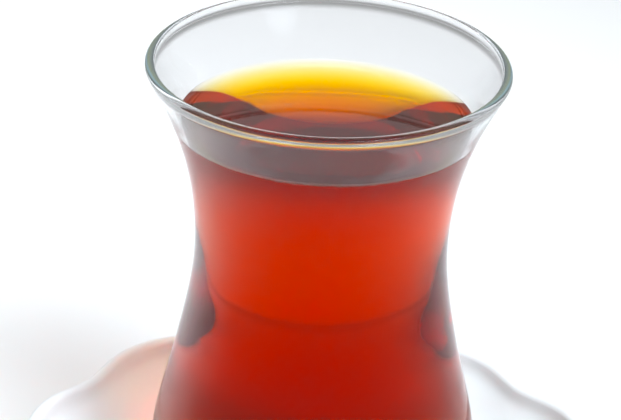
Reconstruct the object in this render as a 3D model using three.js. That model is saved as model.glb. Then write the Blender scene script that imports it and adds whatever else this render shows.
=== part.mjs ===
import * as THREE from 'three';

// A waisted Turkish tea glass, filled with black tea, standing on a scalloped
// white saucer. Millimetres, +Z up. The origin is on the table under the axis
// of the glass, and +X is to the right as the glass is seen from the front (-Y).

// Gap kept between pieces that rest on each other
const REST_GAP = 0.3;

// Saucer: its foot ring, the well that the glass stands in, and its rim
const FOOT_INNER_RADIUS = 20.2;
const FOOT_OUTER_RADIUS = 23.4;
const FOOT_CHAMFER = 0.9;
const FOOT_RECESS_HEIGHT = 1.3;
const WELL_RADIUS = 23.2;
const WELL_FLOOR_HEIGHT = 4.7;
const SAUCER_RADIUS = 51;
const SAUCER_RIM_HEIGHT = 18.3;
const SAUCER_RIM_ROUND = 1.25;
const RIM_CENTRE_HEIGHT = SAUCER_RIM_HEIGHT - SAUCER_RIM_ROUND;

// Under and upper face of the saucer's flank, as [height, radius]
const UNDERSIDE_STATIONS = [
  [2.1, 27],
  [3.6, 34],
  [6.7, 41],
  [11.2, 46.6],
  [RIM_CENTRE_HEIGHT - 1.2, 50.2],
];
const UPPER_STATIONS = [
  [RIM_CENTRE_HEIGHT - 2.4, 47.5],
  [10.6, 43],
  [7.7, 37],
  [6.2, 31],
  [5.2, WELL_RADIUS + 1.2],
];
const UNDERSIDE_STEPS = 7;
const UPPER_STEPS = 8;
const RIM_STEPS = 5;
const RIM_FROM_DEGREES = -20;
const RIM_TO_DEGREES = 170;

// Scallops of the saucer: petals round the rim, with dents between them
const PETALS = 10;
const FIRST_PETAL_DEGREES = 21;
const PETAL_REACH = 1.0;
const PETAL_LIFT = 0.45;
const DENT_SHARPNESS = 0.28;
const FLUTES_START_RADIUS = 27;
const RIM_WAVE_START_RADIUS = 38;
const SEGMENTS_PER_PETAL = 8;

// Glass: overall height, lip and floor, measured from its own underside
const GLASS_HEIGHT = 89.2;
const GLASS_UNDERSIDE = WELL_FLOOR_HEIGHT + REST_GAP;
const LIP_OUTER_RADIUS = 30;
const LIP_ROUND = 0.85;
const LIP_STEPS = 6;
const LIP_FROM_DEGREES = -14;
const LIP_TO_DEGREES = 225;
const GLASS_FLOOR_HEIGHT = 7.6;
const GLASS_SEGMENTS = 48;

// Outer wall of the glass, as [height, radius, wall thickness]: foot, heel,
// belly, hip, waist, neck and flare. Foot and heel are solid down to the table.
const WALL_STATIONS = [
  [0, 18.6, 0],
  [2.9, 22.8, 0],
  [9, 26.7, 0],
  [16.5, 27.9, 2.4],
  [24.5, 27.05, 2.2],
  [37, 24.0, 1.9],
  [49, 21.75, 1.6],
  [57.5, 21.2, 1.5],
  [66, 21.95, 1.4],
  [73.5, 23.65, 1.3],
  [80.5, 26.2, 1.25],
  [86.6, 29.2, 1.25],
];
const FIRST_HOLLOW_STATION = 3;
const WALL_STEPS = 18;

// Inner floor of the glass, as [height, radius], out to where it meets the wall
const FLOOR_STATIONS = [
  [GLASS_FLOOR_HEIGHT, 12],
  [GLASS_FLOOR_HEIGHT + 1.6, 19],
  [GLASS_FLOOR_HEIGHT + 4.6, 23.2],
];

// Tea: its level above the underside of the glass, and its climb at the wall
const TEA_LEVEL = 78.1;
const MENISCUS_RISE = 0.9;
const MENISCUS_REACH = 2.2;
const MENISCUS_STEPS = 3;

// A lathe turns about Y, so its work is stood up along Z
const STAND_UP = new THREE.Matrix4().makeRotationX(Math.PI / 2);

// A smooth line through [height, radius] stations, as points (radius, height)
function smoothLine(stations, steps) {
  const corners = stations.map(([height, radius]) => new THREE.Vector2(radius, height));
  return new THREE.SplineCurve(corners).getPoints(steps);
}

// A round stretch of a profile: degrees run from outwards towards upwards
function roundStretch(centreRadius, centreHeight, size, fromDegrees, toDegrees, steps) {
  const centre = new THREE.Vector2(centreRadius, centreHeight);
  const points = [];
  for (let step = 0; step <= steps; step += 1) {
    const degrees = THREE.MathUtils.lerp(fromDegrees, toDegrees, step / steps);
    const angle = THREE.MathUtils.degToRad(degrees);
    points.push(new THREE.Vector2(Math.cos(angle), Math.sin(angle)).multiplyScalar(size).add(centre));
  }
  return points;
}

// The radius at a height on a line of points that rises all the way
function radiusAt(points, height) {
  const next = points.findIndex((point) => point.y > height);
  const low = points[next - 1];
  const high = points[next];
  return THREE.MathUtils.mapLinear(height, low.y, high.y, low.x, high.x);
}

function turned(profile, segments) {
  return new THREE.LatheGeometry(profile, segments).applyMatrix4(STAND_UP);
}

// The inner face of the glass from its floor to its lip, without the centre
function innerFace() {
  const hollow = WALL_STATIONS.slice(FIRST_HOLLOW_STATION);
  const wall = hollow.map(([height, radius, thickness]) => [height, radius - thickness]);
  return smoothLine([...FLOOR_STATIONS, ...wall], WALL_STEPS);
}

function glassGeometry() {
  const lipRadius = LIP_OUTER_RADIUS - LIP_ROUND;
  const lipHeight = GLASS_HEIGHT - LIP_ROUND;
  const lip = roundStretch(
    lipRadius, lipHeight, LIP_ROUND, LIP_FROM_DEGREES, LIP_TO_DEGREES, LIP_STEPS,
  );
  const profile = [
    new THREE.Vector2(0, 0),
    ...smoothLine(WALL_STATIONS, WALL_STEPS),
    ...lip,
    ...innerFace().reverse(),
    new THREE.Vector2(0, GLASS_FLOOR_HEIGHT),
  ];
  return turned(profile, GLASS_SEGMENTS);
}

// The inner face moved in by the resting gap, square to itself
function teaSide() {
  const face = innerFace();
  const inside = face.slice(1, -1);
  return inside.map((point, index) => {
    const along = face[index + 2].clone().sub(face[index]).normalize();
    return new THREE.Vector2(-along.y, along.x).multiplyScalar(REST_GAP).add(point);
  });
}

// The tea fills the glass up to its level and climbs a little at the wall
function teaGeometry() {
  const side = teaSide();
  const edgeRadius = radiusAt(side, TEA_LEVEL + MENISCUS_RISE);
  const meniscus = [];
  for (let step = 0; step <= MENISCUS_STEPS; step += 1) {
    const share = step / MENISCUS_STEPS;
    const height = TEA_LEVEL + MENISCUS_RISE * (1 - share) ** 3;
    meniscus.push(new THREE.Vector2(edgeRadius - MENISCUS_REACH * share, height));
  }
  const profile = [
    new THREE.Vector2(0, GLASS_FLOOR_HEIGHT + REST_GAP),
    ...side.filter((point) => point.y < TEA_LEVEL),
    ...meniscus,
    new THREE.Vector2(0, TEA_LEVEL),
  ];
  return turned(profile, GLASS_SEGMENTS);
}

// How far out a place round the saucer lies: most in the middle of a petal and
// least in a dent, which is the tighter of the two curves
function petalShare(angle) {
  const turn = PETALS * (angle - THREE.MathUtils.degToRad(FIRST_PETAL_DEGREES));
  return Math.cos(turn) - DENT_SHARPNESS * Math.cos(turn) ** 2;
}

// Pushes the flank of the saucer out and up in each petal, and in at each dent
function scallop(geometry) {
  const position = geometry.attributes.position;
  const place = new THREE.Vector3();
  for (let index = 0; index < position.count; index += 1) {
    place.fromBufferAttribute(position, index);
    const radius = Math.hypot(place.x, place.y);
    const flute = THREE.MathUtils.smoothstep(radius, FLUTES_START_RADIUS, SAUCER_RADIUS);
    const wave = THREE.MathUtils.smoothstep(radius, RIM_WAVE_START_RADIUS, SAUCER_RADIUS);
    if (flute > 0) {
      const petal = petalShare(Math.atan2(place.y, place.x));
      const stretch = 1 + PETAL_REACH * flute * petal / radius;
      place.multiply(new THREE.Vector3(stretch, stretch, 1));
      place.z += PETAL_LIFT * wave * petal;
      position.setXYZ(index, place.x, place.y, place.z);
    }
  }
  return geometry;
}

function saucerGeometry() {
  const rimRadius = SAUCER_RADIUS - SAUCER_RIM_ROUND;
  const rim = roundStretch(
    rimRadius, RIM_CENTRE_HEIGHT, SAUCER_RIM_ROUND, RIM_FROM_DEGREES, RIM_TO_DEGREES, RIM_STEPS,
  );
  const profile = [
    new THREE.Vector2(0, FOOT_RECESS_HEIGHT),
    new THREE.Vector2(FOOT_INNER_RADIUS - FOOT_CHAMFER, FOOT_RECESS_HEIGHT),
    new THREE.Vector2(FOOT_INNER_RADIUS, 0),
    new THREE.Vector2(FOOT_OUTER_RADIUS, 0),
    new THREE.Vector2(FOOT_OUTER_RADIUS + FOOT_CHAMFER, FOOT_RECESS_HEIGHT),
    ...smoothLine(UNDERSIDE_STATIONS, UNDERSIDE_STEPS),
    ...rim,
    ...smoothLine(UPPER_STATIONS, UPPER_STEPS),
    new THREE.Vector2(WELL_RADIUS, WELL_FLOOR_HEIGHT),
    new THREE.Vector2(0, WELL_FLOOR_HEIGHT),
  ];
  return scallop(turned(profile, PETALS * SEGMENTS_PER_PETAL));
}

function piece(name, geometry, look, height) {
  const mesh = new THREE.Mesh(geometry, new THREE.MeshStandardMaterial(look));
  mesh.name = name;
  mesh.position.z = height;
  return mesh;
}

const clearGlass = { color: '#e8f1ef', roughness: 0.03, metalness: 0, transparent: true, opacity: 0.35 };
const blackTea = { color: '#b4301a', roughness: 0.05, metalness: 0, transparent: true, opacity: 0.9 };
const whitePorcelain = { color: '#f1f1ee', roughness: 0.15, metalness: 0 };

const teaGlass = new THREE.Group();
teaGlass.name = 'turkish_tea_glass';
teaGlass.add(piece('glass', glassGeometry(), clearGlass, GLASS_UNDERSIDE));
teaGlass.add(piece('tea', teaGeometry(), blackTea, GLASS_UNDERSIDE));
teaGlass.add(piece('saucer', saucerGeometry(), whitePorcelain, 0));

export default teaGlass;
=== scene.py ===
import math

import bpy
from mathutils import Matrix, Vector


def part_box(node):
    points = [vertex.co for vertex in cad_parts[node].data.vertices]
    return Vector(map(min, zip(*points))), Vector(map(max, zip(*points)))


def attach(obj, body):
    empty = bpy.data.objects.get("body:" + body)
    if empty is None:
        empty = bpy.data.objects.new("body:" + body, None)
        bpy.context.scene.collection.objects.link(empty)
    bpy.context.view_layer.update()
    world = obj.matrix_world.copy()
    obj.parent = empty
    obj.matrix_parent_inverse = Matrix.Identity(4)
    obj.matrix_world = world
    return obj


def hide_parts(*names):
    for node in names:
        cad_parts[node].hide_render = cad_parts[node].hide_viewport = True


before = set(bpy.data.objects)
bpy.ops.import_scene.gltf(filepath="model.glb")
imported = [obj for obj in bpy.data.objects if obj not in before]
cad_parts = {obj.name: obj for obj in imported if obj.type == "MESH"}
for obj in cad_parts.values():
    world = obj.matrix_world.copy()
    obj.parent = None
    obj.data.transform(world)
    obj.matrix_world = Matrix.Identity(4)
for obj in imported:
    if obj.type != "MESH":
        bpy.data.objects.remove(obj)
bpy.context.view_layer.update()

# A Turkish tea glass of black tea on its white saucer. Metres, +Z up, and the
# front of the object towards -Y. The height and width of the glass and the
# level of the tea come from the frame, and the shapes below repeat the sizes
# of the solids, in millimetres.

MM = 0.001
GLASS_LOW, GLASS_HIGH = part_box("glass")
TEA_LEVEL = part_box("tea")[1].z

# Glass: outer wall as [height, radius, wall thickness] above its underside
GLASS_UNDERSIDE = GLASS_LOW.z / MM
GLASS_HEIGHT = (GLASS_HIGH.z - GLASS_LOW.z) / MM
LIP_OUTER_RADIUS = (GLASS_HIGH.x - GLASS_LOW.x) / 2 / MM
LIP_ROUND = 0.85
LIP_FROM_DEGREES = -14
LIP_TO_DEGREES = 225
GLASS_FLOOR_HEIGHT = 7.6
WALL_STATIONS = [
    (0, 18.6, 0),
    (2.9, 22.8, 0),
    (9, 26.7, 0),
    (16.5, 27.9, 2.4),
    (24.5, 27.05, 2.2),
    (37, 24.0, 1.9),
    (49, 21.75, 1.6),
    (57.5, 21.2, 1.5),
    (66, 21.95, 1.4),
    (73.5, 23.65, 1.3),
    (80.5, 26.2, 1.25),
    (86.6, 29.2, 1.25),
]
FIRST_HOLLOW_STATION = 3
FLOOR_STATIONS = [
    (GLASS_FLOOR_HEIGHT, 12),
    (GLASS_FLOOR_HEIGHT + 1.6, 19),
    (GLASS_FLOOR_HEIGHT + 4.6, 23.2),
]
WALL_STEPS = 110
LIP_STEPS = 20
GLASS_TURNS = 192

# Tea: how far it reaches into the wall, and how it climbs where it wets it
TEA_EDGE = TEA_LEVEL / MM - GLASS_UNDERSIDE
MENISCUS_RISE = 1.0
MENISCUS_FADE = 1.9
MENISCUS_REACH = 14
MENISCUS_STEPS = 26
CONTACT_STEP = 0.02
TEA_INTO_WALL = 0.12

# Saucer: profile stations as [height, radius], and the scallops of its rim
FOOT_INNER_RADIUS = 20.2
FOOT_OUTER_RADIUS = 23.4
FOOT_RECESS_HEIGHT = 1.3
FOOT_RECESS_SLOPE = 0.9
FOOT_EDGE = 0.25
WELL_RADIUS = 23.2
WELL_FLOOR_HEIGHT = 4.7
SAUCER_RADIUS = 51
RIM_ROUND = 1.25
RIM_FROM_DEGREES = -20
RIM_TO_DEGREES = 165
RIM_CENTRE_HEIGHT = 17.05
UNDERSIDE_STATIONS = [
    (0.35, FOOT_OUTER_RADIUS + 0.5),
    (2.1, 27),
    (3.6, 34),
    (6.7, 41),
    (11.2, 46.6),
    (RIM_CENTRE_HEIGHT - 1.2, 50.2),
]
UPPER_STATIONS = [
    (RIM_CENTRE_HEIGHT, SAUCER_RADIUS - 2 * RIM_ROUND),
    (RIM_CENTRE_HEIGHT - 2.4, 47.5),
    (10.6, 43),
    (7.7, 37),
    (6.2, 31),
    (5.2, WELL_RADIUS + 1.2),
    (WELL_FLOOR_HEIGHT, WELL_RADIUS - 0.6),
]
FLANK_STEPS = 56
RIM_STEPS = 18
SAUCER_TURNS = 240
PETALS = 10
FIRST_PETAL_DEGREES = 21
PETAL_REACH = 1.0
PETAL_LIFT = 0.45
DENT_SHARPNESS = 0.28
FLUTES_START_RADIUS = 27
RIM_WAVE_START_RADIUS = 38

# The same for the tree that scallops the saucer, in metres and radians
SCALLOP_SIZES = {
    "First Petal": math.radians(FIRST_PETAL_DEGREES),
    "Petal Reach": PETAL_REACH * MM,
    "Petal Lift": PETAL_LIFT * MM,
    "Dent Sharpness": DENT_SHARPNESS,
    "Flutes Start": FLUTES_START_RADIUS * MM,
    "Rim Wave Start": RIM_WAVE_START_RADIUS * MM,
    "Rim Radius": SAUCER_RADIUS * MM,
}

# Points closer than the first become one, and a radius that divides is at least
# the second, in metres
SAME_POINT = 1e-7
LEAST_RADIUS = 1e-6

# Light bends by these at each skin. Where glass and tea touch, the glass bends
# it by the ratio of the two, and the tea by next to nothing.
GLASS_BEND = 1.52
TEA_BEND = 1.333
NO_BEND = 1.0005
WETTED = "wetted"

# Waves of each skin: stretch along the axes, waves to a metre, strength, and
# depth in metres
EVEN = (1.0, 1.0, 1.0)
UPRIGHT = (1.0, 1.0, 0.25)
GLASS_WAVES = (UPRIGHT, 60.0, 0.15, 0.0002)
TEA_RIPPLES = (EVEN, 90.0, 0.05, 0.0001)
GLAZE_WAVES = (EVEN, 70.0, 0.12, 0.0004)
NOISE_DETAIL = 2.0

# Glass: its colour through its depth, the colour of its straight-on mirror image,
# its painted glow (painted light, as the glass is no lamp), and the darker grey tint above the tea with
# the height it fades over
CLEAR = (1, 1, 1, 1)
POLISHED = 0.0
GLASS_DEPTH_TINT = (0.45, 0.56, 0.62, 1)
GLASS_DEPTH_DENSITY = 45.0
GLASS_MIRROR_TINT = (0.15, 0.15, 0.15, 1)
PAINTED_GLOW_TINT = (0.85, 1.0, 1.05, 1)
PAINTED_GLOW_STRENGTH = 7.5
DARKER_ABOVE_TEA_TINT = (0.83, 0.82, 0.82, 1)
DARKER_ABOVE_TEA_FADE = 6.0

# Tea: its colour through its depth
TEA_DEPTH_TINT = (0.962, 0.806, 0.04, 1)
TEA_DEPTH_DENSITY = 500.0

# Porcelain: the two whites of its body, and the glaze over it
PORCELAIN_DARKER = (0.87, 0.89, 0.895, 1)
PORCELAIN_LIGHTER = (0.92, 0.94, 0.945, 1)
PORCELAIN_CLOUDS_PER_METRE = 45.0
PORCELAIN_ROUGHNESS = 0.34
GLAZE_WEIGHT = 0.15
GLAZE_ROUGHNESS = 0.15

# Camera: how it stands to a point in the middle of the mouth
PHOTO_WIDTH_PX = 621
FOCAL_PX = 3069.6
SENSOR_WIDTH = 36
CLIP_START = 0.01
MOUTH_HEIGHT = 0.09315
CAMERA_DISTANCE = 0.5
CAMERA_ELEVATION = math.radians(23.773)
CAMERA_PITCH = math.radians(26.445)
CAMERA_YAW = math.radians(-0.252)
CAMERA_ROLL = math.radians(2.417)

# Floor: from its middle to its sides, in metres, and its finish
FLOOR_REACH = 6.0
FLOOR_SHADE = (0.88, 0.88, 0.88, 1)
FLOOR_ROUGHNESS = 0.9

# Studio: how bright it is in front and behind, low and high, and at its ceiling
LIGHT_TINT = (0.98, 1.0, 1.015)
FRONT_SHADES = (0.25, 0.2)
BEHIND_SHADES = (0.55, 1.15)
CEILING = 0.5

# Between these parts of a direction of length 1 a shade gives way to the next:
# the first along +Y, and the others along +Z
FRONT_TO_BEHIND = (0.0, 0.5)
LOW_TO_HIGH = (0.15, 0.5)
SHADES_TO_CEILING = (0.5, 0.85)

# Soft lights: name, place, target and size in metres, power in watts, spread in
# degrees, and tint
KEY_TINT = (0.92, 1.0, 1.06)
SOFT_LIGHTS = [
    ("overhead_light", (-0.02, 0.21, 0.62), (-0.02, 0.21, 0), (0.44, 0.3), 0.18, 42, LIGHT_TINT),
    ("key_light", (0.292, -0.366, 0.47), (-0.01, 0.02, 0.01), (0.36, 0.36), 0.46, 36, KEY_TINT),
    ("side_light", (-0.19, 0.09, 0.5), (-0.19, 0.09, 0), (0.16, 0.2), 0.085, 30, LIGHT_TINT),
]

# Picture: how rich its colours are, and how often light may bounce in it
SATURATION = 1.2
BOUNCES = {
    "max_bounces": 40,
    "transmission_bounces": 36,
    "glossy_bounces": 12,
    "diffuse_bounces": 6,
    "transparent_max_bounces": 16,
}


def smooth_line(stations, steps):
    """A smooth line through (height, radius) stations, as (radius, height) pairs."""
    points = []
    last = len(stations) - 1
    for step in range(steps + 1):
        place = last * step / steps
        index = min(int(place), last - 1)
        share = place - index
        before, start, end, after = (
            Vector(stations[max(0, min(last, index + offset))][:2])
            for offset in (-1, 0, 1, 2)
        )
        leave = (end - before) / 2
        arrive = (after - start) / 2
        if index == 0:
            leave = (end - start) / 2
        if index == last - 1:
            arrive = (end - start) / 2
        cube = 2 * start - 2 * end + leave + arrive
        square = -3 * start + 3 * end - 2 * leave - arrive
        point = ((cube * share + square) * share + leave) * share + start
        points.append((point.y, point.x))
    return points


def round_stretch(radius, height, size, from_degrees, to_degrees, steps):
    """An arc of a size about a (radius, height) centre, as (radius, height) pairs."""
    points = []
    for step in range(steps + 1):
        angle = math.radians(from_degrees + (to_degrees - from_degrees) * step / steps)
        points.append((radius + size * math.cos(angle), height + size * math.sin(angle)))
    return points


def radius_at(points, height):
    """The radius at a height on a line of (radius, height) pairs that rises."""
    for (low_radius, low), (high_radius, high) in zip(points, points[1:]):
        if low <= height <= high:
            return low_radius + (high_radius - low_radius) * (height - low) / (high - low)
    return points[-1][0]


def inner_face():
    """The inside of the glass from its floor to its lip."""
    hollow = WALL_STATIONS[FIRST_HOLLOW_STATION:]
    wall = [(height, radius - thickness) for height, radius, thickness in hollow]
    return smooth_line(FLOOR_STATIONS + wall, WALL_STEPS)


def marked(points, wetted):
    """The points with a mark: 1 where glass and tea touch, and 0 where the skin meets air."""
    return [(radius, height, wetted) for radius, height in points]


def glass_profile():
    """The section of the glass: up its outside, round the lip and down its inside."""
    outer = smooth_line(WALL_STATIONS, WALL_STEPS)
    lip = round_stretch(
        LIP_OUTER_RADIUS - LIP_ROUND, GLASS_HEIGHT - LIP_ROUND, LIP_ROUND,
        LIP_FROM_DEGREES, LIP_TO_DEGREES, LIP_STEPS,
    )
    face = inner_face()
    above_tea = TEA_EDGE + CONTACT_STEP
    dry = [point for point in face if point[1] > above_tea]
    wet = [point for point in face if point[1] < TEA_EDGE - CONTACT_STEP]
    edge_dry = (radius_at(face, above_tea), above_tea)
    edge_wet = (radius_at(face, TEA_EDGE), TEA_EDGE)
    floor = (0, GLASS_FLOOR_HEIGHT)
    in_air = [(0, 0)] + outer + lip + dry[::-1] + [edge_dry]
    return marked(in_air, 0) + marked([edge_wet] + wet[::-1] + [floor], 1)


def tea_profile():
    """The tea fills the glass a little way into its wall, and its surface climbs at the wall."""
    face = inner_face()
    side = []
    for before, point, after in zip(face, face[1:], face[2:]):
        along = Vector(after) - Vector(before)
        out = Vector((along.y, -along.x)).normalized() * TEA_INTO_WALL
        side.append((point[0] + out.x, point[1] + out.y))
    flat = TEA_EDGE - MENISCUS_RISE
    wall_radius = radius_at(face, TEA_EDGE)
    surface = []
    for step in range(MENISCUS_STEPS + 1):
        inward = MENISCUS_REACH * (step / MENISCUS_STEPS) ** 2
        rise = MENISCUS_RISE * math.exp(-inward / MENISCUS_FADE)
        surface.append((wall_radius - CONTACT_STEP - inward, flat + rise))
    below = [point for point in side if point[1] < TEA_EDGE]
    rim = [(radius_at(side, TEA_EDGE), TEA_EDGE), (wall_radius, TEA_EDGE)]
    bottom = (0, GLASS_FLOOR_HEIGHT - TEA_INTO_WALL)
    return marked([bottom] + below + rim, 1) + marked(surface + [(0, flat)], 0)


def saucer_profile():
    """The section of the saucer: its foot ring, underside, rim, upper face and well."""
    foot = [
        (0, FOOT_RECESS_HEIGHT),
        (FOOT_INNER_RADIUS - FOOT_RECESS_SLOPE, FOOT_RECESS_HEIGHT),
        (FOOT_INNER_RADIUS, FOOT_EDGE),
        (FOOT_INNER_RADIUS + FOOT_EDGE, 0),
        (FOOT_OUTER_RADIUS - FOOT_EDGE, 0),
    ]
    underside = smooth_line(UNDERSIDE_STATIONS, FLANK_STEPS)
    rim = round_stretch(
        SAUCER_RADIUS - RIM_ROUND, RIM_CENTRE_HEIGHT, RIM_ROUND,
        RIM_FROM_DEGREES, RIM_TO_DEGREES, RIM_STEPS,
    )
    upper = smooth_line(UPPER_STATIONS, FLANK_STEPS)
    return marked(foot + underside + rim + upper + [(0, WELL_FLOOR_HEIGHT)], 0)


class Tree:
    """A short way to add nodes to a node tree and to join them."""

    def __init__(self, tree):
        self.tree = tree

    def add(self, kind, inputs=None, **settings):
        node = self.tree.nodes.new(kind)
        for name, value in settings.items():
            setattr(node, name, value)
        self.fill(node, inputs or {})
        return node

    def fill(self, node, inputs):
        """Sets each named input of a node, or joins it where the value is a socket."""
        for name, value in inputs.items():
            socket = node.inputs[name]
            if isinstance(value, bpy.types.NodeSocket):
                self.tree.links.new(value, socket)
            else:
                socket.default_value = value

    def math(self, operation, *values):
        return self.add("ShaderNodeMath", dict(enumerate(values)), operation=operation).outputs[0]

    def combined(self, x, y, z):
        return self.add("ShaderNodeCombineXYZ", {0: x, 1: y, 2: z}).outputs[0]

    def share_between(self, value, low, high, smooth=True):
        """Rises from 0 to 1 as the value goes from low to high."""
        ends = {"Value": value, "From Min": low, "From Max": high}
        kind = "SMOOTHSTEP" if smooth else "LINEAR"
        return self.add("ShaderNodeMapRange", ends, interpolation_type=kind).outputs[0]

    # A Mix node has its numbers in sockets 2 and 3, and its colours in 6 and 7
    def blend_numbers(self, share, first, second):
        inputs = {0: share, 2: first, 3: second}
        return self.add("ShaderNodeMix", inputs, data_type="FLOAT").outputs[0]

    def blend_colours(self, share, first, second):
        inputs = {0: share, 6: first, 7: second}
        return self.add("ShaderNodeMix", inputs, data_type="RGBA").outputs[2]


def new_skin_tree(name, inputs):
    """An empty tree of geometry with the named inputs and a skin as its output."""
    group = bpy.data.node_groups.new(name, "GeometryNodeTree")
    for label, kind in inputs:
        group.interface.new_socket(label, in_out="INPUT", socket_type=kind)
    group.interface.new_socket("Skin", in_out="OUTPUT", socket_type="NodeSocketGeometry")
    tree = Tree(group)
    return group, tree, tree.add("NodeGroupInput").outputs


def end_skin_tree(tree, skin, material):
    """Ends a tree in real mesh with its material."""
    real = tree.add("GeometryNodeRealizeInstances", {"Geometry": skin})
    finish = tree.add("GeometryNodeSetMaterial", {"Geometry": real.outputs[0], "Material": material})
    tree.add("NodeGroupOutput", {"Skin": finish.outputs[0]})


def turning_tree():
    """Turns the points of a profile, in their order, about the Z axis into a closed skin."""
    group, tree, given = new_skin_tree("turned_profile", [
        ("Profile", "NodeSocketGeometry"),
        ("Turns", "NodeSocketInt"),
        ("Material", "NodeSocketMaterial"),
    ])
    count = tree.add("GeometryNodeAttributeDomainSize", {"Geometry": given["Profile"]}, component="MESH")
    points = count.outputs["Point Count"]
    columns = tree.math("ADD", given["Turns"], 1)
    grid = tree.add("GeometryNodeMeshGrid", {"Vertices X": columns, "Vertices Y": points})
    index = tree.add("GeometryNodeInputIndex").outputs[0]
    row = tree.math("MODULO", index, points)
    column = tree.math("FLOOR", tree.math("DIVIDE", index, points))
    turn = tree.math("MULTIPLY", tree.math("DIVIDE", column, given["Turns"]), math.tau)

    def picked(kind, value):
        inputs = {"Geometry": given["Profile"], "Value": value, "Index": row}
        return tree.add("GeometryNodeSampleIndex", inputs, data_type=kind).outputs[0]

    place = tree.add("GeometryNodeInputPosition").outputs[0]
    mark = tree.add("GeometryNodeInputNamedAttribute", {"Name": WETTED}, data_type="FLOAT").outputs[0]
    parts = tree.add("ShaderNodeSeparateXYZ", {0: picked("FLOAT_VECTOR", place)}).outputs
    x = tree.math("MULTIPLY", parts[0], tree.math("COSINE", turn))
    y = tree.math("MULTIPLY", parts[0], tree.math("SINE", turn))
    spot = tree.combined(x, y, parts[2])
    moved = tree.add("GeometryNodeSetPosition", {"Geometry": grid.outputs["Mesh"], "Position": spot})
    kept = tree.add(
        "GeometryNodeStoreNamedAttribute",
        {"Geometry": moved.outputs[0], "Name": WETTED, "Value": picked("FLOAT", mark)},
        data_type="FLOAT", domain="POINT",
    )
    closed = tree.add("GeometryNodeMergeByDistance", {"Geometry": kept.outputs[0], "Distance": SAME_POINT})
    smooth = tree.add("GeometryNodeSetShadeSmooth", {"Geometry": closed.outputs[0], "Shade Smooth": True})
    end_skin_tree(tree, smooth.outputs[0], given["Material"])
    return group


def scallop_tree():
    """Pushes a turned skin out and up in each petal round its rim, and in at each dent."""
    sizes = [(name, "NodeSocketFloat") for name in SCALLOP_SIZES]
    group, tree, given = new_skin_tree("scalloped_rim", [
        ("Skin", "NodeSocketGeometry"),
        ("Petals", "NodeSocketInt"),
        *sizes,
        ("Material", "NodeSocketMaterial"),
    ])
    place = tree.add("GeometryNodeInputPosition").outputs[0]
    parts = tree.add("ShaderNodeSeparateXYZ", {0: place}).outputs
    x = parts[0]
    y = parts[1]
    angle = tree.math("SUBTRACT", tree.math("ARCTAN2", y, x), given["First Petal"])
    wave = tree.math("COSINE", tree.math("MULTIPLY", angle, given["Petals"]))
    dent = tree.math("MULTIPLY", tree.math("MULTIPLY", wave, wave), given["Dent Sharpness"])
    petal = tree.math("SUBTRACT", wave, dent)
    squares = tree.math("ADD", tree.math("MULTIPLY", x, x), tree.math("MULTIPLY", y, y))
    radius = tree.math("MAXIMUM", tree.math("SQRT", squares), LEAST_RADIUS)
    fluted = tree.share_between(radius, given["Flutes Start"], given["Rim Radius"])
    waved = tree.share_between(radius, given["Rim Wave Start"], given["Rim Radius"])
    reach = tree.math("MULTIPLY", given["Petal Reach"], tree.math("MULTIPLY", fluted, petal))
    lift = tree.math("MULTIPLY", given["Petal Lift"], tree.math("MULTIPLY", waved, petal))
    stretch = tree.math("DIVIDE", reach, radius)
    step = tree.combined(tree.math("MULTIPLY", x, stretch), tree.math("MULTIPLY", y, stretch), lift)
    moved = tree.add("GeometryNodeSetPosition", {"Geometry": given["Skin"], "Offset": step})
    end_skin_tree(tree, moved.outputs[0], given["Material"])
    return group


def add_nodes(obj, group, values):
    """Adds a tree to an object, with its inputs set by their identifiers."""
    modifier = obj.modifiers.new(group.name, "NODES")
    modifier.node_group = group
    for item in group.interface.items_tree:
        if item.item_type == "SOCKET" and item.in_out == "INPUT" and item.name in values:
            modifier[item.identifier] = values[item.name]


def settled(obj):
    """Replaces an object's mesh by what its modifiers make of it."""
    graph = bpy.context.evaluated_depsgraph_get()
    made = bpy.data.meshes.new_from_object(obj.evaluated_get(graph))
    obj.modifiers.clear()
    obj.data = made
    return obj


def turned(name, profile, lift, turning, turns, material):
    """An object that holds the points of a profile, raised by a height, and turns them."""
    mesh = bpy.data.meshes.new(name)
    mesh.from_pydata([(radius * MM, 0, (height + lift) * MM) for radius, height, _ in profile], [], [])
    marks = mesh.attributes.new(WETTED, "FLOAT", "POINT")
    marks.data.foreach_set("value", [mark for _, _, mark in profile])
    obj = bpy.data.objects.new(name, mesh)
    bpy.context.scene.collection.objects.link(obj)
    add_nodes(obj, turning, {"Turns": turns, "Material": material})
    return obj


def build_glass(turning):
    return settled(turned(
        "tea_glass", glass_profile(), GLASS_UNDERSIDE, turning, GLASS_TURNS, clear_glass(),
    ))


def build_tea(turning):
    return settled(turned(
        "black_tea", tea_profile(), GLASS_UNDERSIDE, turning, GLASS_TURNS, black_tea(),
    ))


def build_saucer(turning):
    material = white_porcelain()
    obj = turned("scalloped_saucer", saucer_profile(), 0, turning, SAUCER_TURNS, material)
    add_nodes(obj, scallop_tree(), {"Petals": PETALS, "Material": material, **SCALLOP_SIZES})
    return settled(obj)


def new_material(name):
    """A material, its tree, and the shader and output that it starts with."""
    material = bpy.data.materials.new(name)
    material.use_nodes = True
    nodes = material.node_tree.nodes
    return material, Tree(material.node_tree), nodes["Principled BSDF"], nodes["Material Output"]


def object_place(tree):
    return tree.add("ShaderNodeTexCoord").outputs["Object"]


def noise(tree, stretch, per_metre):
    """Noise on the object's own coordinates, stretched by a scale for each axis."""
    mapped = tree.add("ShaderNodeMapping", {"Vector": object_place(tree), "Scale": stretch}).outputs[0]
    inputs = {"Vector": mapped, "Scale": per_metre, "Detail": NOISE_DETAIL}
    return tree.add("ShaderNodeTexNoise", inputs).outputs[0]


def make_wavy(tree, shader, stretch, per_metre, strength, depth):
    """Gives a skin soft waves, without moving it."""
    waves = noise(tree, stretch, per_metre)
    bump = tree.add("ShaderNodeBump", {"Height": waves, "Strength": strength, "Distance": depth})
    tree.fill(shader, {"Normal": bump.outputs[0]})


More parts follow.
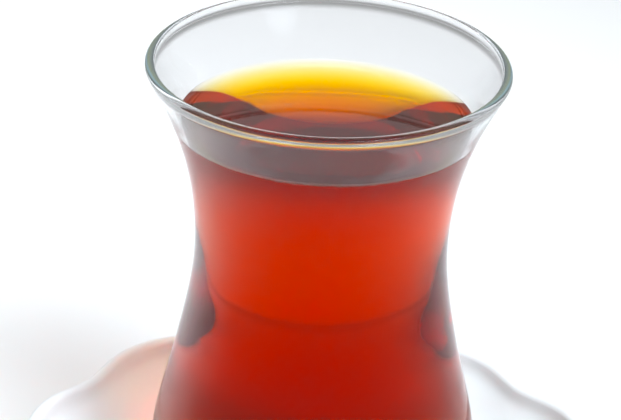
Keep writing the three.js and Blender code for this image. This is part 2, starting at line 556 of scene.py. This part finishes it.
def bend_by_mark(tree, in_air, where_wetted):
    """How much the skin bends light, by the mark on its points."""
    mark = tree.add("ShaderNodeAttribute", attribute_name=WETTED).outputs["Fac"]
    ends = {"Value": mark, "To Min": in_air, "To Max": where_wetted}
    return tree.add("ShaderNodeMapRange", ends).outputs[0]


def depth_colour(tree, tint, density):
    """Colour that deepens with the length of the way through."""
    return tree.add("ShaderNodeVolumeAbsorption", {"Color": tint, "Density": density}).outputs[0]


def clear_glass():
    """Soda-lime glass: a faint cool grey in its depth, a painted glow in its depth, and a darker grey tint
    above the tea.
    """
    material, tree, shader, output = new_material("clear_glass")
    z = tree.add("ShaderNodeSeparateXYZ", {0: object_place(tree)}).outputs[2]
    # The glass turns a darker grey above the tea level, fading in over a few millimetres below it
    above = tree.share_between(z, TEA_LEVEL - DARKER_ABOVE_TEA_FADE * MM, TEA_LEVEL, smooth=False)
    tree.fill(shader, {
        "Base Color": tree.blend_colours(above, CLEAR, DARKER_ABOVE_TEA_TINT),
        "Roughness": POLISHED,
        "IOR": bend_by_mark(tree, GLASS_BEND, GLASS_BEND / TEA_BEND),
        "Transmission Weight": 1.0,
        "Specular Tint": GLASS_MIRROR_TINT,
    })
    make_wavy(tree, shader, *GLASS_WAVES)
    depth = depth_colour(tree, GLASS_DEPTH_TINT, GLASS_DEPTH_DENSITY)
    # Painted light: the glass glows in its depth, though it is no lamp, as if light running along inside
    # it came out at its edges
    painted_glow = tree.add("ShaderNodeEmission", {"Color": PAINTED_GLOW_TINT, "Strength": PAINTED_GLOW_STRENGTH})
    depth_and_painted_glow = tree.add("ShaderNodeAddShader", {0: depth, 1: painted_glow.outputs[0]})
    tree.fill(output, {"Volume": depth_and_painted_glow.outputs[0]})
    return material


def black_tea():
    """Clear tea that is yellow where it is shallow, orange at ten millimetres and red in its depth."""
    material, tree, shader, output = new_material("black_tea")
    tree.fill(shader, {
        "Base Color": CLEAR,
        "Roughness": POLISHED,
        "IOR": bend_by_mark(tree, TEA_BEND, NO_BEND),
        "Transmission Weight": 1.0,
    })
    make_wavy(tree, shader, *TEA_RIPPLES)
    tree.fill(output, {"Volume": depth_colour(tree, TEA_DEPTH_TINT, TEA_DEPTH_DENSITY)})
    return material


def white_porcelain():
    """Glazed porcelain: a clear even glaze over a white body, with slight clouds and waves."""
    material, tree, shader, _ = new_material("white_porcelain")
    ramp = tree.add("ShaderNodeValToRGB", {"Fac": noise(tree, EVEN, PORCELAIN_CLOUDS_PER_METRE)})
    ramp.color_ramp.elements[0].color = PORCELAIN_DARKER
    ramp.color_ramp.elements[1].color = PORCELAIN_LIGHTER
    tree.fill(shader, {
        "Base Color": ramp.outputs[0],
        "Roughness": PORCELAIN_ROUGHNESS,
        "Coat Weight": GLAZE_WEIGHT,
        "Coat Roughness": GLAZE_ROUGHNESS,
    })
    make_wavy(tree, shader, *GLAZE_WAVES)
    return material


def add_camera():
    """The camera looks down on the mouth, turned a little and tilted a little."""
    mouth = Vector((0, 0, MOUTH_HEIGHT))
    away = Vector((0, -math.cos(CAMERA_ELEVATION), math.sin(CAMERA_ELEVATION)))
    forward = Vector((
        math.sin(CAMERA_YAW) * math.cos(CAMERA_PITCH),
        math.cos(CAMERA_YAW) * math.cos(CAMERA_PITCH),
        -math.sin(CAMERA_PITCH),
    ))
    level = forward.cross(Vector((0, 0, 1))).normalized()
    upright = level.cross(forward)
    right = level * math.cos(CAMERA_ROLL) + upright * math.sin(CAMERA_ROLL)
    top = upright * math.cos(CAMERA_ROLL) - level * math.sin(CAMERA_ROLL)
    turn = Matrix((right, top, -forward)).transposed()
    data = bpy.data.cameras.new("camera")
    data.sensor_width = SENSOR_WIDTH
    data.lens = FOCAL_PX / PHOTO_WIDTH_PX * SENSOR_WIDTH
    data.clip_start = CLIP_START
    camera = bpy.data.objects.new("camera", data)
    camera.matrix_world = Matrix.Translation(mouth + away * CAMERA_DISTANCE) @ turn.to_4x4()
    bpy.context.scene.collection.objects.link(camera)
    bpy.context.scene.camera = camera


def add_floor():
    """A plain pale floor without gloss."""
    mesh = bpy.data.meshes.new("floor")
    corners = [(x * FLOOR_REACH, y * FLOOR_REACH, 0) for x, y in ((-1, -1), (1, -1), (1, 1), (-1, 1))]
    mesh.from_pydata(corners, [], [(0, 1, 2, 3)])
    floor = bpy.data.objects.new("floor", mesh)
    bpy.context.scene.collection.objects.link(floor)
    material, tree, shader, _ = new_material("pale_floor")
    tree.fill(shader, {
        "Base Color": FLOOR_SHADE,
        "Roughness": FLOOR_ROUGHNESS,
        "Specular IOR Level": 0.0,
    })
    mesh.materials.append(material)


def add_soft_light(name, place, target, size, power, spread_degrees, tint):
    """A soft rectangular light that faces its target."""
    data = bpy.data.lights.new(name, "AREA")
    data.shape = "RECTANGLE"
    data.size, data.size_y = size
    data.energy = power
    data.color = tint
    data.spread = math.radians(spread_degrees)
    light = bpy.data.objects.new(name, data)
    light.location = place
    light.rotation_euler = (Vector(target) - Vector(place)).to_track_quat("-Z", "Y").to_euler()
    bpy.context.scene.collection.objects.link(light)


def light_studio():
    """A studio that is dim in front and bright behind under a soft ceiling."""
    world = bpy.data.worlds.new("studio")
    bpy.context.scene.world = world
    world.use_nodes = True
    tree = Tree(world.node_tree)
    where = tree.add("ShaderNodeTexCoord").outputs["Generated"]
    parts = tree.add("ShaderNodeSeparateXYZ", {0: where}).outputs
    behind = tree.share_between(parts[1], *FRONT_TO_BEHIND)
    high = tree.share_between(parts[2], *LOW_TO_HIGH)
    ceiling = tree.share_between(parts[2], *SHADES_TO_CEILING)
    front_shade = tree.blend_numbers(high, *FRONT_SHADES)
    behind_shade = tree.blend_numbers(high, *BEHIND_SHADES)
    shade = tree.blend_numbers(behind, front_shade, behind_shade)
    tree.fill(world.node_tree.nodes["Background"], {
        "Color": (*LIGHT_TINT, 1),
        "Strength": tree.blend_numbers(ceiling, shade, CEILING),
    })


def set_look():
    """The standard look with slightly richer colours, and enough bounces for tea in glass."""
    scene = bpy.context.scene
    scene.view_settings.view_transform = "Standard"
    scene.view_settings.look = "None"
    for name, count in BOUNCES.items():
        setattr(scene.cycles, name, count)
    scene.cycles.blur_glossy = 0.0
    scene.use_nodes = True
    scene.node_tree.nodes.clear()
    tree = Tree(scene.node_tree)
    image = tree.add("CompositorNodeRLayers").outputs["Image"]
    rich = tree.add("CompositorNodeColorCorrection", {"Image": image}, master_saturation=SATURATION)
    tree.add("CompositorNodeComposite", {"Image": rich.outputs[0]})


def main():
    add_camera()
    add_floor()
    light_studio()
    for light in SOFT_LIGHTS:
        add_soft_light(*light)
    set_look()
    turning = turning_tree()
    dressed = [
        (build_glass(turning), "glass", "glass"),
        (build_tea(turning), "tea", "tea"),
        (build_saucer(turning), "saucer", "porcelain"),
    ]
    for piece, node, finish in dressed:
        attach(piece, "root")
        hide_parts(node)


main()
